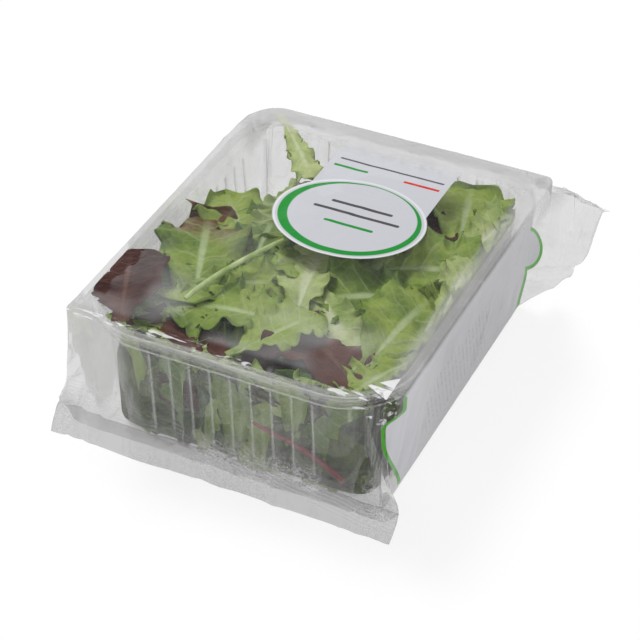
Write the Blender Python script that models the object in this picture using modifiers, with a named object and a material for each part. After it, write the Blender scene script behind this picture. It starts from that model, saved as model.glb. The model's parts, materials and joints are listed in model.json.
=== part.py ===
"""A pack of mixed salad leaves: a ribbed clear tray, its heap of leaves, and the sealed film bag round both.

Metres, +Z up. X runs across the pack and Y from its front seal to its back seal. The origin is at the middle
of the pack's outline, on the surface that it stands on. The bag is a solid out to its film: it fills the
space between the film and what is in it, and its back seam, under the tray, is a narrow gap.
"""

import math

import bmesh
import bpy
from mathutils import Vector, noise

MM = 0.001

# Driving dimensions
TRAY_WIDTH = 150 * MM
TRAY_LENGTH = 190 * MM
TRAY_HEIGHT = 68 * MM
TRAY_CORNER = 32 * MM
TRAY_WALL = 0.6 * MM
GAP = 0.3 * MM
SHEET = 0.5 * MM
SEAL_WIDTH = 180 * MM
FRONT_SEAL_REACH = 3 * MM
BACK_SEAL_REACH = 42 * MM

# The seals reach unequally far past the tray, so the tray stands nearer the front.
TRAY_Y = (FRONT_SEAL_REACH - BACK_SEAL_REACH) / 2
TRAY_FRONT = TRAY_Y - TRAY_LENGTH / 2
TRAY_BACK = TRAY_Y + TRAY_LENGTH / 2
TRAY_FOOT = SHEET + GAP

# Tray
FLUTES_ACROSS = 10
FLUTES_ALONG = 14
FLUTE_DEPTH = 1.2 * MM
CORNER_STEPS = 7
LIP_DROP = 5 * MM
FLANGE = 4.5 * MM
WALL_INSET = 5.5 * MM
BASE_INSET = 10 * MM
PANEL_RISE = 1.5 * MM

# Heap of leaves
HEAP_MIDDLE = 66 * MM
HEAP_EDGE = 60 * MM
HEAP_BUMPS = 3.5 * MM
HEAP_BUMP_SIZE = 24 * MM
HEAP_CLEAR = FLUTE_DEPTH + 2 * GAP
HEAP_RINGS = (0.96, 0.86, 0.74, 0.61, 0.47, 0.32, 0.16, 0.05)
HEAP_SEED = Vector((3.7, 1.3, 8.1))

# Bag
BAG_OVER_TRAY = 1.4 * MM
BAG_CROWN = 3 * MM
BAG_FOOT_INSET = 8 * MM
STRIP_THICKNESS = 1.2 * MM
FRONT_STRIP_HEIGHT = 20 * MM
FRONT_STRIP_LEAN = 1.9 * MM
LEFT_END_TUCK = 3 * MM
RIGHT_END_TUCK = 11 * MM
BACK_STRIP_DEPTH = 8 * MM
BACK_STRIP_HEIGHT = 34.5 * MM
BACK_HEM_HEIGHT = 32 * MM
POINTS_ACROSS = 14
POINTS_UP = 7
SEAM_GAP = 1 * MM


def clear_scene():
    for obj in list(bpy.data.objects):
        bpy.data.objects.remove(obj, do_unlink=True)


def new_collection(name):
    collection = bpy.data.collections.new(name)
    bpy.context.scene.collection.children.link(collection)
    return collection


def material(name, colour, roughness, alpha=1.0):
    made = bpy.data.materials.new(name)
    made.use_nodes = True
    shader = made.node_tree.nodes["Principled BSDF"]
    shader.inputs["Base Color"].default_value = (*colour, 1)
    shader.inputs["Roughness"].default_value = roughness
    shader.inputs["Metallic"].default_value = 0
    shader.inputs["Alpha"].default_value = alpha
    return made


def rounded_outline(half_x, half_y, radius, across, along):
    """Points and outward directions of a rounded rectangle, anticlockwise, evenly spaced on each straight."""
    straights = (
        ((half_x, -half_y + radius), (half_x, half_y - radius), along, 0),
        ((half_x - radius, half_y), (-half_x + radius, half_y), across, 90),
        ((-half_x, half_y - radius), (-half_x, -half_y + radius), along, 180),
        ((-half_x + radius, -half_y), (half_x - radius, -half_y), across, 270),
    )
    found = []
    for start, end, steps, heading in straights:
        outward = Vector((math.cos(math.radians(heading)), math.sin(math.radians(heading))))
        for step in range(steps + 1):
            found.append((Vector(start).lerp(Vector(end), step / steps), outward, step % 2 == 1))
        centre = Vector(end) - outward * radius
        for step in range(1, CORNER_STEPS):
            turn = math.radians(heading + 90 * step / CORNER_STEPS)
            outward_here = Vector((math.cos(turn), math.sin(turn)))
            found.append((centre + outward_here * radius, outward_here, False))
    return found


def tray_ring(inset, z, flute=0.0, across=2 * FLUTES_ACROSS, along=2 * FLUTES_ALONG):
    """A ring of the tray at this inset from its rim's edge. Every second point on a straight is pushed in."""
    outline = rounded_outline(
        TRAY_WIDTH / 2 - inset,
        TRAY_LENGTH / 2 - inset,
        max(TRAY_CORNER - 0.9 * inset, 4 * MM),
        across,
        along,
    )
    return [
        Vector((p.x - n.x * flute * pushed, p.y - n.y * flute * pushed + TRAY_Y, z))
        for p, n, pushed in outline
    ]


def loft(name, rings, capped):
    """A mesh through rings of equally many points, closed by a face at each end that capped names."""
    bm = bmesh.new()
    made = bmesh.ops.create_circle(bm, segments=len(rings[0]), radius=1)
    verts = list(made["verts"])
    edges = [bm.edges.get((a, b)) for a, b in zip(verts, verts[1:] + verts[:1])]
    for vert, place in zip(verts, rings[0]):
        vert.co = place
    if "first" in capped:
        bmesh.ops.contextual_create(bm, geom=edges)
    for ring in rings[1:]:
        grown = bmesh.ops.extrude_edge_only(bm, edges=edges)["geom"]
        fresh = {v for v in grown if isinstance(v, bmesh.types.BMVert)}
        verts = [
            next(e.other_vert(v) for e in v.link_edges if e.other_vert(v) in fresh) for v in verts
        ]
        edges = [bm.edges.get((a, b)) for a, b in zip(verts, verts[1:] + verts[:1])]
        for vert, place in zip(verts, ring):
            vert.co = place
    if "last" in capped:
        bmesh.ops.contextual_create(bm, geom=edges)
    bmesh.ops.recalc_face_normals(bm, faces=bm.faces)
    mesh = bpy.data.meshes.new(name)
    bm.to_mesh(mesh)
    bm.free()
    return mesh


def add_object(name, mesh, collection, finish=None):
    obj = bpy.data.objects.new(name, mesh)
    collection.objects.link(obj)
    if finish:
        obj.data.materials.append(finish)
    return obj


def make_tray(collection):
    """An open surface along the tray's inner and upper side, thickened outwards and downwards by Solidify."""
    floor = TRAY_FOOT + TRAY_WALL
    top = TRAY_HEIGHT
    rings = [
        tray_ring(0, top - LIP_DROP),
        tray_ring(0, top - 0.8 * MM),
        tray_ring(0.8 * MM, top),
        tray_ring(FLANGE, top),
        tray_ring(WALL_INSET, top - 1.2 * MM),
        tray_ring(WALL_INSET + 1 * MM, top - 9 * MM),
        tray_ring(WALL_INSET + 1.5 * MM, top - 13 * MM, FLUTE_DEPTH),
        tray_ring(BASE_INSET - 0.6 * MM, floor + 9 * MM, FLUTE_DEPTH),
        tray_ring(BASE_INSET, floor + 4.5 * MM),
        tray_ring(BASE_INSET + 3 * MM, floor),
        tray_ring(BASE_INSET + 8 * MM, floor),
        tray_ring(BASE_INSET + 11 * MM, floor + PANEL_RISE),
    ]
    finish = material("clear_pet", (0.82, 0.84, 0.84), 0.12, 0.3)
    tray = add_object("tray", loft("tray", rings, {"last"}), collection, finish)
    if tray.data.polygons[0].normal.z < 0:
        tray.data.flip_normals()
    shell = tray.modifiers.new("wall", "SOLIDIFY")
    shell.thickness = TRAY_WALL
    shell.offset = -1
    shell.use_even_offset = True
    tray.data.shade_smooth()
    tray.data.set_sharp_from_angle(angle=math.radians(20))
    return tray


def bag_top(x, y):
    """Height of the film over the tray: flat over the rim and a little higher over the middle of the heap."""
    across = max(0.0, 1 - (2 * x / TRAY_WIDTH) ** 2)
    along = max(0.0, 1 - (2 * (y - TRAY_Y) / TRAY_LENGTH) ** 2)
    return TRAY_HEIGHT + BAG_OVER_TRAY + BAG_CROWN * min(1.0, across * 2) * min(1.0, along * 2)


def heap_top(x, y):
    """Height of the heap of leaves: a low dome with bumps, kept under the film."""
    across = 1 - (2 * x / TRAY_WIDTH) ** 2
    along = 1 - (2 * (y - TRAY_Y) / TRAY_LENGTH) ** 2
    dome = HEAP_EDGE + (HEAP_MIDDLE - HEAP_EDGE) * max(0.0, across * along)
    bumps = HEAP_BUMPS * noise.noise(Vector((x, y, 0)) / HEAP_BUMP_SIZE + HEAP_SEED)
    return min(dome + bumps, bag_top(x, y) - 2 * SHEET - 2 * GAP)


def heap_cap(edge, lift=0.0):
    """Rings that shrink from the ring edge to the heap's middle, at the heap's height plus lift."""
    rings = []
    for share in HEAP_RINGS:
        ring = [Vector((p.x * share, TRAY_Y + (p.y - TRAY_Y) * share)) for p in edge]
        rings.append([Vector((p.x, p.y, heap_top(p.x, p.y) + lift)) for p in ring])
    # The last ring is level, so that the face that closes it is flat.
    for point in rings[-1]:
        point.z = heap_top(0, TRAY_Y) + lift
    return rings


def plain_ring(inset, z):
    return tray_ring(inset, z, 0.0, FLUTES_ACROSS, FLUTES_ALONG)


def heap_shoulder(lift=0.0):
    return plain_ring(WALL_INSET + 1 * MM + HEAP_CLEAR, HEAP_EDGE - 3 * MM + lift)


def make_salad(collection):
    """The heap fills the tray inside its flutes, with a rounded shoulder and a bumpy top."""
    foot = TRAY_FOOT + TRAY_WALL + PANEL_RISE + GAP
    rings = [
        plain_ring(BASE_INSET + 14 * MM, foot),
        plain_ring(BASE_INSET + 4 * MM, foot + 0.4 * MM),
        plain_ring(BASE_INSET + HEAP_CLEAR, foot + 4 * MM),
        heap_shoulder(),
        *heap_cap(heap_shoulder()),
    ]
    mesh = loft("salad", rings, {"first", "last"})
    salad = add_object("salad", mesh, collection, material("salad_leaves", (0.33, 0.42, 0.14), 0.55))
    salad.data.shade_smooth()
    return salad


def section(top_left, top_right, foot_right, foot_left, crowned=False):
    """A ring of the bag between four corners. On a crowned one the top edge follows bag_top."""
    corners = [Vector(c) for c in (top_left, top_right, foot_right, foot_left)]
    steps = (POINTS_ACROSS, POINTS_UP, POINTS_ACROSS, POINTS_UP)
    ring = []
    for side, count in enumerate(steps):
        start, end = corners[side], corners[(side + 1) % 4]
        for step in range(count):
            point = start.lerp(end, step / count)
            if crowned and side == 0:
                point.z = bag_top(point.x, point.y)
            ring.append(point)
    return ring


def mirrored_section(half_top, half_foot, y_top, z_top, y_foot, z_foot, crowned=False):
    return section(
        (-half_top, y_top, z_top),
        (half_top, y_top, z_top),
        (half_foot, y_foot, z_foot),
        (-half_foot, y_foot, z_foot),
        crowned,
    )


def bag_sections():
    """The bag's rings from the hem of the front seal to the hem of the back seal."""
    side = TRAY_WIDTH / 2 + BAG_OVER_TRAY
    foot = TRAY_WIDTH / 2 - BAG_FOOT_INSET
    top = TRAY_HEIGHT + BAG_OVER_TRAY
    seal = SEAL_WIDTH / 2
    hem = TRAY_FRONT - FRONT_SEAL_REACH
    back_hem = TRAY_BACK + BACK_SEAL_REACH
    over_front = TRAY_FRONT - BAG_OVER_TRAY
    inner_hem = hem + FRONT_STRIP_LEAN
    # The front seal hangs to the ground. Its right end is tucked in and its left end stands out.
    left_end, right_end = -seal + LEFT_END_TUCK, seal - RIGHT_END_TUCK
    left_top, right_top = left_end + 5 * MM, right_end - 1 * MM
    strip_foot = FRONT_STRIP_HEIGHT - 1.5 * MM
    front = [
        section(
            (left_end, inner_hem, 0),
            (right_end, hem, 0),
            (right_end, hem + STRIP_THICKNESS, 0),
            (left_end, inner_hem + STRIP_THICKNESS, 0),
        ),
        section(
            (left_top, inner_hem, FRONT_STRIP_HEIGHT),
            (right_top, inner_hem, FRONT_STRIP_HEIGHT),
            (right_top, inner_hem + STRIP_THICKNESS, strip_foot),
            (left_top, inner_hem + STRIP_THICKNESS, strip_foot),
        ),
        section(
            (-side - 3 * MM, over_front, top - 14 * MM),
            (side, over_front, top - 14 * MM),
            (foot + 6 * MM, TRAY_FRONT + 6 * MM, 8 * MM),
            (-foot - 10 * MM, TRAY_FRONT + 6 * MM, 8 * MM),
        ),
        mirrored_section(side, foot + 2 * MM, over_front, top - 1.2 * MM, TRAY_FRONT + 8.5 * MM, 0),
    ]
    body = [
        mirrored_section(side, foot, y, top, y, 0, crowned=True)
        for y in (TRAY_Y + share * TRAY_LENGTH / 2 for share in (-0.8, -0.5, -0.2, 0.2, 0.5, 0.8))
    ]
    first_y, last_y = TRAY_FRONT + 1 * MM, TRAY_BACK - 1 * MM
    body.insert(0, mirrored_section(side, foot + 1 * MM, first_y, top, TRAY_FRONT + 12 * MM, 0, True))
    body.append(mirrored_section(side, foot + 3 * MM, last_y, top, TRAY_BACK - 12 * MM, 0, True))
    # Behind the tray the film slopes to a flat seal at half height, and stands out as an ear at each side.
    # Its underside stays low until just before the seal.
    strip_y = back_hem - BACK_STRIP_DEPTH
    strip_foot = BACK_STRIP_HEIGHT - STRIP_THICKNESS
    hem_foot = BACK_HEM_HEIGHT - STRIP_THICKNESS
    behind = TRAY_BACK + BAG_OVER_TRAY
    pouch = seal - 4 * MM
    back = [
        mirrored_section(side, foot + 7 * MM, behind, top - 1.2 * MM, TRAY_BACK - 8 * MM, 1 * MM),
        mirrored_section(side + 4 * MM, side + 5 * MM, behind + 11 * MM, 54 * MM, behind + 10 * MM, 3 * MM),
        mirrored_section(pouch, pouch, strip_y - 7 * MM, 39.5 * MM, strip_y - 9 * MM, 12 * MM),
        mirrored_section(seal - 1 * MM, seal - 1 * MM, strip_y, BACK_STRIP_HEIGHT, strip_y, strip_foot),
        mirrored_section(seal, seal, back_hem, BACK_HEM_HEIGHT, back_hem, hem_foot),
    ]
    return front + body + back


def bag_hollow():
    """What the tray and the heap take up, with a gap round them."""
    out = TRAY_WALL + GAP
    lip_foot = TRAY_HEIGHT - LIP_DROP - GAP

    rings = [
        plain_ring(BASE_INSET + 3 * MM - out, SHEET),
        plain_ring(BASE_INSET - out - 0.1 * MM, TRAY_FOOT + TRAY_WALL + 4.5 * MM),
        plain_ring(WALL_INSET + 1 * MM - out - 0.1 * MM, TRAY_HEIGHT - 9 * MM),
        plain_ring(WALL_INSET - out, lip_foot),
        plain_ring(-GAP, lip_foot),
        plain_ring(-GAP, TRAY_HEIGHT + GAP),
        plain_ring(FLANGE, TRAY_HEIGHT + GAP),
        plain_ring(WALL_INSET + 2 * GAP, TRAY_HEIGHT - 1.2 * MM),
        plain_ring(WALL_INSET + 1 * MM + 2 * GAP, TRAY_HEIGHT - 9 * MM),
        heap_shoulder(2 * GAP),
        *heap_cap(heap_shoulder(), 2 * GAP),
    ]
    return loft("bag_hollow", rings, {"first", "last"})


def cut(obj, name, mesh, cutters):
    cutter = add_object(name, mesh, cutters)
    cutter.hide_render = True
    cutter.display_type = "WIRE"
    modifier = obj.modifiers.new(name, "BOOLEAN")
    modifier.operation = "DIFFERENCE"
    modifier.object = cutter


def seam_slot():
    """A thin upright box under the tray, where the film's two edges meet."""
    bpy.ops.mesh.primitive_cube_add(size=1, location=(0, TRAY_Y, 0))
    box = bpy.context.object
    box.scale = (SEAM_GAP, TRAY_LENGTH - 2 * BASE_INSET - 20 * MM, 4 * SHEET)
    bpy.ops.object.transform_apply(location=True, rotation=False, scale=True)
    mesh = box.data.copy()
    bpy.data.objects.remove(box, do_unlink=True)
    return mesh


def make_bag(collection, cutters):
    mesh = loft("bag", bag_sections(), {"first", "last"})
    bag = add_object("bag", mesh, collection, material("clear_film", (0.86, 0.86, 0.87), 0.15, 0.25))
    cut(bag, "tray_and_heap", bag_hollow(), cutters)
    cut(bag, "back_seam", seam_slot(), cutters)
    return bag


def main():
    clear_scene()
    parts = new_collection("salad_pack")
    cutters = new_collection("cutters")
    make_tray(parts)
    make_salad(parts)
    make_bag(parts, cutters)


main()
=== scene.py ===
import bpy
import json
import math
import numpy as np
from mathutils import Matrix, Vector

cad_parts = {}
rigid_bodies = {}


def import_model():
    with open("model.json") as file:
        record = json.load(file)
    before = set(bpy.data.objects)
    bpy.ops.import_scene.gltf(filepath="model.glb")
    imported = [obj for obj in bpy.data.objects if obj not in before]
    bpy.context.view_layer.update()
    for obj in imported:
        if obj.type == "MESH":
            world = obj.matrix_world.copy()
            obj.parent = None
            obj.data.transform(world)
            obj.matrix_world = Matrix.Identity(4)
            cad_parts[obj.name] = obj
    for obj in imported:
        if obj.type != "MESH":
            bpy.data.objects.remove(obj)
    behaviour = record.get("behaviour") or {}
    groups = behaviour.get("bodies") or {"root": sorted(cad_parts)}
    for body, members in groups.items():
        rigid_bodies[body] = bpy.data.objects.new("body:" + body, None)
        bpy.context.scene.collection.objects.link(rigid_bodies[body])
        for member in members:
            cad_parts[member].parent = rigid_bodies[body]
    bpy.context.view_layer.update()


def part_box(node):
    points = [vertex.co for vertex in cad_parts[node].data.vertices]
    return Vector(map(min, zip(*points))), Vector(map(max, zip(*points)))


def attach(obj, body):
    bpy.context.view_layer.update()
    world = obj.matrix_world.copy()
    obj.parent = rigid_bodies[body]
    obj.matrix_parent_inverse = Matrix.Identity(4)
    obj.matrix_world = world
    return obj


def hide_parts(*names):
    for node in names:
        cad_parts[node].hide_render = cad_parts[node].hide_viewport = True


mm = 0.001

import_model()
trayLow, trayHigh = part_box("tray")
trayY = (trayLow[1] + trayHigh[1]) / 2  # the tray stands nearer the front seal
halfX = (trayHigh[0] - trayLow[0]) / 2
halfY = (trayHigh[1] - trayLow[1]) / 2
rimZ = trayHigh[2]
edgeX, edgeY, topZ = halfX / mm, halfY / mm, rimZ / mm  # the same in mm


# small tools

def deselectAll():
    for obj in bpy.context.view_layer.objects:
        obj.select_set(False)


def activate(obj):
    deselectAll()
    obj.select_set(True)
    bpy.context.view_layer.objects.active = obj


def applyModifier(obj, kind, **settings):
    activate(obj)
    modifier = obj.modifiers.new(kind.lower(), kind)
    for key, value in settings.items():
        setattr(modifier, key, value)
    bpy.ops.object.modifier_apply(modifier=modifier.name)


def gridPiece(name, across, along):
    # a flat unit grid, -1 to 1 each way, with across and along steps
    deselectAll()
    bpy.ops.mesh.primitive_grid_add(x_subdivisions=across, y_subdivisions=along, size=2, calc_uvs=True)
    piece = bpy.context.object
    piece.name = name
    piece.data.name = name
    return piece


def wrappedGrid(name, around, rows):
    # a grid to be rolled into a ring, with each point's step round the ring and its row
    piece = gridPiece(name, around, rows)
    flat = readPoints(piece.data)
    column = np.rint((flat[:, 0] + 1) / 2 * around).astype(int) % around
    row = np.rint((flat[:, 1] + 1) / 2 * rows).astype(int)
    return piece, column, row


def readVectors(mesh, name):
    flat = np.empty(len(mesh.vertices) * 3, dtype=np.float64)
    mesh.vertices.foreach_get(name, flat)
    return flat.reshape(-1, 3)


def readPoints(mesh):
    return readVectors(mesh, "co")


def writePoints(mesh, points):
    mesh.vertices.foreach_set("co", np.asarray(points, dtype=np.float64).ravel())
    mesh.update()


def mergeDoubles(piece):
    activate(piece)
    bpy.ops.object.mode_set(mode="EDIT")
    bpy.ops.mesh.select_all(action="SELECT")
    bpy.ops.mesh.remove_doubles(threshold=0.02 * mm)
    bpy.ops.object.mode_set(mode="OBJECT")


def faceOutwards(piece):
    activate(piece)
    bpy.ops.object.mode_set(mode="EDIT")
    bpy.ops.mesh.select_all(action="SELECT")
    bpy.ops.mesh.normals_make_consistent(inside=False)
    bpy.ops.object.mode_set(mode="OBJECT")


def smoothStep(low, high, value):
    share = np.clip((value - low) / (high - low), 0, 1)
    return share * share * (3 - 2 * share)


class Waves:
    # smooth noise as a sum of sine waves with random directions, about -1 to 1
    def __init__(self, rng, size, count=6):
        angle = rng.uniform(0, 2 * math.pi, count)
        scale = 2 * math.pi / (size * rng.uniform(0.6, 1.7, count))
        self.kx, self.ky = np.cos(angle) * scale, np.sin(angle) * scale
        self.phase = rng.uniform(0, 2 * math.pi, count)

    def at(self, x, y):
        total = sum(np.sin(x * kx + y * ky + p) for kx, ky, p in zip(self.kx, self.ky, self.phase))
        return total / math.sqrt(len(self.phase) * 1.6)


# shader maths

class Socket:
    def __init__(self, tree, out):
        self.tree, self.out = tree, out

    def math(self, operation, *values):
        return Shade(self.tree).node("ShaderNodeMath", {"operation": operation}, values)

    def __add__(self, other):
        return self.math("ADD", self, other)

    def __sub__(self, other):
        return self.math("SUBTRACT", self, other)

    def __rsub__(self, other):
        return self.math("SUBTRACT", other, self)

    def __mul__(self, other):
        return self.math("MULTIPLY", self, other)

    def __truediv__(self, other):
        return self.math("DIVIDE", self, other)

    def __rtruediv__(self, other):
        return self.math("DIVIDE", other, self)

    def __gt__(self, other):
        return self.math("GREATER_THAN", self, other)

    def __lt__(self, other):
        return self.math("LESS_THAN", self, other)

    __radd__ = __add__
    __rmul__ = __mul__

    def abs(self):
        return self.math("ABSOLUTE", self)

    def sqrt(self):
        return self.math("SQRT", self)

    def fract(self):
        return self.math("FRACT", self)

    def max(self, *others):
        found = self
        for other in others:
            found = self.math("MAXIMUM", found, other)
        return found

    def min(self, other):
        return self.math("MINIMUM", self, other)

    def between(self, low, high):
        return (self > low) * (self < high)


class Shade:
    def __init__(self, tree):
        self.tree = tree

    def node(self, kind, settings=None, values=None, out=0):
        # the settings are set first, then each value is linked or written to its socket, by name or number
        made = self.tree.nodes.new(kind)
        for key, value in (settings or {}).items():
            setattr(made, key, value)
        pairs = values.items() if isinstance(values, dict) else enumerate(values or [])
        for key, value in pairs:
            if isinstance(value, Socket):
                self.tree.links.new(value.out, made.inputs[key])
            else:
                made.inputs[key].default_value = value
        return Socket(self.tree, made.outputs[out])

    def mixColour(self, share, first, second):
        first, second = ((*c, 1) if isinstance(c, tuple) else c for c in (first, second))
        return self.node("ShaderNodeMix", {"data_type": "RGBA"}, {0: share, 6: first, 7: second}, out=2)

    def ease(self, value, low, high, start=0.0, end=1.0):
        # smooth change from start to end while value goes from low to high
        settings = {"interpolation_type": "SMOOTHSTEP", "clamp": True}
        return self.node("ShaderNodeMapRange", settings, {0: value, 1: low, 2: high, 3: start, 4: end})

    def band(self, value, inner, outer):
        # 1 within inner of nought, and 0 beyond outer
        return 1 - self.ease(value.abs(), inner, outer)

    def noise(self, place, scale, detail=2.0, roughness=0.5, distortion=0.0):
        values = {"Vector": place, "Scale": scale, "Detail": detail, "Roughness": roughness}
        return self.node("ShaderNodeTexNoise", {}, {**values, "Distortion": distortion})

    def streaks(self, place, scale, turn=(0, 0, 0), detail=2.0, roughness=0.5, distortion=0.0):
        # noise drawn out by a scale for each axis, after a turn
        stretched = self.node("ShaderNodeMapping", {}, {"Vector": place, "Scale": scale, "Rotation": turn})
        return self.noise(stretched, 1, detail, roughness, distortion)

    def objectPlace(self):
        return self.node("ShaderNodeTexCoord", out="Object")

    def split(self, place):
        made = self.tree.nodes.new("ShaderNodeSeparateXYZ")
        self.tree.links.new(place.out, made.inputs[0])
        return [Socket(self.tree, made.outputs[i]) for i in range(3)]

    def bump(self, height, strength, distance):
        return self.node("ShaderNodeBump", {}, {"Height": height, "Strength": strength, "Distance": distance})

    def clear(self, colour):
        return self.node("ShaderNodeBsdfTransparent", {}, {"Color": (*colour, 1)})

    def matt(self, colour, normal=None):
        values = {"Color": (*colour, 1)}
        if normal:
            values["Normal"] = normal
        return self.node("ShaderNodeBsdfDiffuse", {}, values)

    def gloss(self, roughness, normal):
        values = {"Color": (1, 1, 1, 1), "Roughness": roughness, "Normal": normal}
        return self.node("ShaderNodeBsdfGlossy", {}, values)

    def fresnel(self, ior, normal):
        return self.node("ShaderNodeFresnel", {}, {"IOR": ior, "Normal": normal})

    def mixShader(self, share, first, second):
        return self.node("ShaderNodeMixShader", {}, [share, first, second])

    def letLampsThrough(self, shader):
        # thin clear plastic throws no shadow to speak of
        lampRay = self.node("ShaderNodeLightPath", out="Is Shadow Ray")
        return self.mixShader(lampRay, shader, self.clear((0.98, 0.98, 0.98)))

    def surface(self, shader):
        output = self.tree.nodes.new("ShaderNodeOutputMaterial")
        self.tree.links.new(shader.out, output.inputs["Surface"])


def newMaterial(name):
    made = bpy.data.materials.new(name)
    made.use_nodes = True
    made.node_tree.nodes.clear()
    return made, Shade(made.node_tree)


# leaves

# the film's shape in mm: it lies over the tray's rim, and its seals are wider than the tray
film = {
    "around": 300, "sides": (0, 0.35, 0.5, 0.85, 1.0),  # points round the bag, and where each side ends
    "overTray": 1.4, "crown": 3, "footInset": 8, "sealWidth": 180, "sheetGap": 0.5, "hemReach": 3,
    "backReach": 42, "frontLength": 72, "backLength": 54, "lowest": 0.2,
}
leafKinds = {
    "lettuce": {
        "name": "greenLettuce", "length": (66, 92), "width": (40, 56), "stem": 0.10, "stemWidth": 0.16,
        "rise": 0.75, "fall": 3.4, "waves": 3.0, "ruffle": 5.6, "jag": 1.1, "jags": 14, "blister": 1.3,
        "blade": ((0.090, 0.168, 0.018), (0.30, 0.40, 0.070)), "rib": (0.50, 0.60, 0.32),
        "edge": (0.15, 0.30, 0.03), "glow": (0.30, 0.48, 0.05),
        "ribWidth": 0.055, "veins": 7, "net": 0.13, "rough": 0.40, "sheen": 0.42},
    "pale": {
        "name": "paleLettuce", "length": (56, 84), "width": (26, 42), "stem": 0.14, "stemWidth": 0.30,
        "rise": 0.8, "fall": 3.5, "waves": 3.6, "ruffle": 4.6, "jag": 1.5, "jags": 15, "blister": 0.9,
        "blade": ((0.22, 0.33, 0.07), (0.47, 0.55, 0.22)), "rib": (0.66, 0.71, 0.48),
        "edge": (0.26, 0.43, 0.05), "glow": (0.50, 0.62, 0.12),
        "ribWidth": 0.12, "veins": 8, "net": 0.13, "rough": 0.40, "sheen": 0.42},
    "red": {
        "name": "redLettuce", "length": (54, 80), "width": (34, 48), "stem": 0.08, "stemWidth": 0.22,
        "rise": 0.65, "fall": 4.0, "waves": 2.4, "ruffle": 3.8, "jag": 0.3, "jags": 7, "blister": 1.3,
        "blade": ((0.030, 0.009, 0.008), (0.110, 0.034, 0.024)), "rib": (0.15, 0.07, 0.05),
        "edge": (0.045, 0.010, 0.012), "glow": (0.30, 0.05, 0.02),
        "ribWidth": 0.05, "veins": 6, "net": 0.07, "rough": 0.34, "sheen": 0.16},
    "dark": {
        "name": "darkLeaf", "length": (56, 84), "width": (24, 36), "stem": 0.22, "stemWidth": 0.10,
        "rise": 0.9, "fall": 2.4, "waves": 2.5, "ruffle": 3.0, "jag": 0.9, "jags": 6, "blister": 0.6,
        "blade": ((0.030, 0.075, 0.016), (0.09, 0.17, 0.036)), "rib": (0.30, 0.41, 0.17),
        "edge": (0.05, 0.12, 0.022), "glow": (0.10, 0.22, 0.03),
        "ribWidth": 0.05, "veins": 7, "net": 0.13, "rough": 0.36, "sheen": 0.30},
}
leafGrid = {"shown": (22, 64), "deep": (12, 24), "thickness": 0.3 * mm}
heap = {
    "capGap": 0.9 * mm, "soft": 2.0 * mm, "floor": 3.7 * mm, "corner": 26 * mm,
    "wallTop": 8.0 * mm, "wallFoot": 10.6 * mm,  # how far in from the rim's edge the leaves stay
    "nearRim": -1 * mm, "nearInset": 4 * mm, "overRim": 0.3 * mm, "overInset": 1 * mm,
    "full": 62 * mm, "least": 14 * mm, "hollow": 40 * mm, "hollowX": -62 * mm, "hollowY": 12 * mm,
    "hollowSlant": 1.1, "hollowFrom": -10 * mm, "hollowTo": 24 * mm,
    "backSlope": 16 * mm, "backFrom": 66 * mm, "backTo": 84 * mm,
}
rimSag = {"depth": 2.2 * mm, "from": 55 * mm}  # the film pulls the tray's back rim down a little


# in all of these, x and y are from the tray's centre

def backSag(y):
    return rimSag["depth"] * smoothStep(rimSag["from"], halfY, y)


def crownLift(x, y):
    # the film is flat over the rim and a little higher over the heap
    across = np.clip(1 - (x / halfX) ** 2, 0, None)
    along = np.clip(1 - (y / halfY) ** 2, 0, None)
    return film["crown"] * mm * np.minimum(1, across * 2) * np.minimum(1, along * 2)


def filmTop(x, y):
    return rimZ + film["overTray"] * mm + crownLift(x, y) - backSag(y)


def heapHeight(x, y):
    # the heap falls away towards the back left corner and the back wall
    beyond = (y - heap["hollowY"]) - heap["hollowSlant"] * (x - heap["hollowX"])
    fall = heap["hollow"] * smoothStep(heap["hollowFrom"], heap["hollowTo"], beyond)
    back = heap["backSlope"] * smoothStep(heap["backFrom"], heap["backTo"], y)
    return np.maximum(heap["full"] - fall - back, heap["least"])


def confine(points, capDrop, wallDrop, deep):
    # leaves lie against the film and the tray's walls, each a little further in than the last
    x, y, z = points[:, 0], points[:, 1] - trayY, points[:, 2]
    ceiling = filmTop(x, y) - heap["capGap"]
    cap = ceiling - capDrop
    if deep:
        cap = np.minimum(cap, heapHeight(x, y))
    over, soft = z - cap, heap["soft"]
    z = np.where(over > -soft, cap - soft * np.exp(-np.clip((over + soft) / soft, 0, 20)), z)
    z = np.maximum(np.minimum(z, ceiling), heap["floor"])
    inset = heap["wallFoot"] + (heap["wallTop"] - heap["wallFoot"]) * np.clip(z / rimZ, 0, 1) + wallDrop
    # what is above the rim may reach over it
    over = z - rimZ + backSag(y)
    inset = np.where(over > heap["nearRim"], np.minimum(inset, heap["nearInset"] + wallDrop), inset)
    inset = np.where(over > heap["overRim"], heap["overInset"] + wallDrop, inset)
    hx, hy = halfX - inset, halfY - inset
    corner = heap["corner"]
    qx, qy = np.abs(x) - (hx - corner), np.abs(y) - (hy - corner)
    outX, outY = np.maximum(qx, 0), np.maximum(qy, 0)
    reach = np.hypot(outX, outY)
    inCorner = (qx > 0) & (qy > 0)
    scale = np.where(inCorner & (reach > corner), corner / np.maximum(reach, 1e-9), 1.0)
    newX = np.where(inCorner, (hx - corner) + outX * scale, np.minimum(np.abs(x), hx))
    newY = np.where(inCorner, (hy - corner) + outY * scale, np.minimum(np.abs(y), hy))
    return np.stack([np.sign(x) * newX, np.sign(y) * newY + trayY, z], axis=1)


bladeForm = {
    "fullSize": 85 * mm, "lobes": 0.15, "lobeSize": 0.42, "drift": 0.9, "stemTaper": 0.6,
    "finerWaves": 3.1, "finerHigh": 0.55, "outward": 0.15, "endward": 0.30, "blisterSize": 10 * mm,
    "grooveDeep": 1.6 * mm, "grooveHalf": 0.09, "dome": (-6, 14),
}


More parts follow.
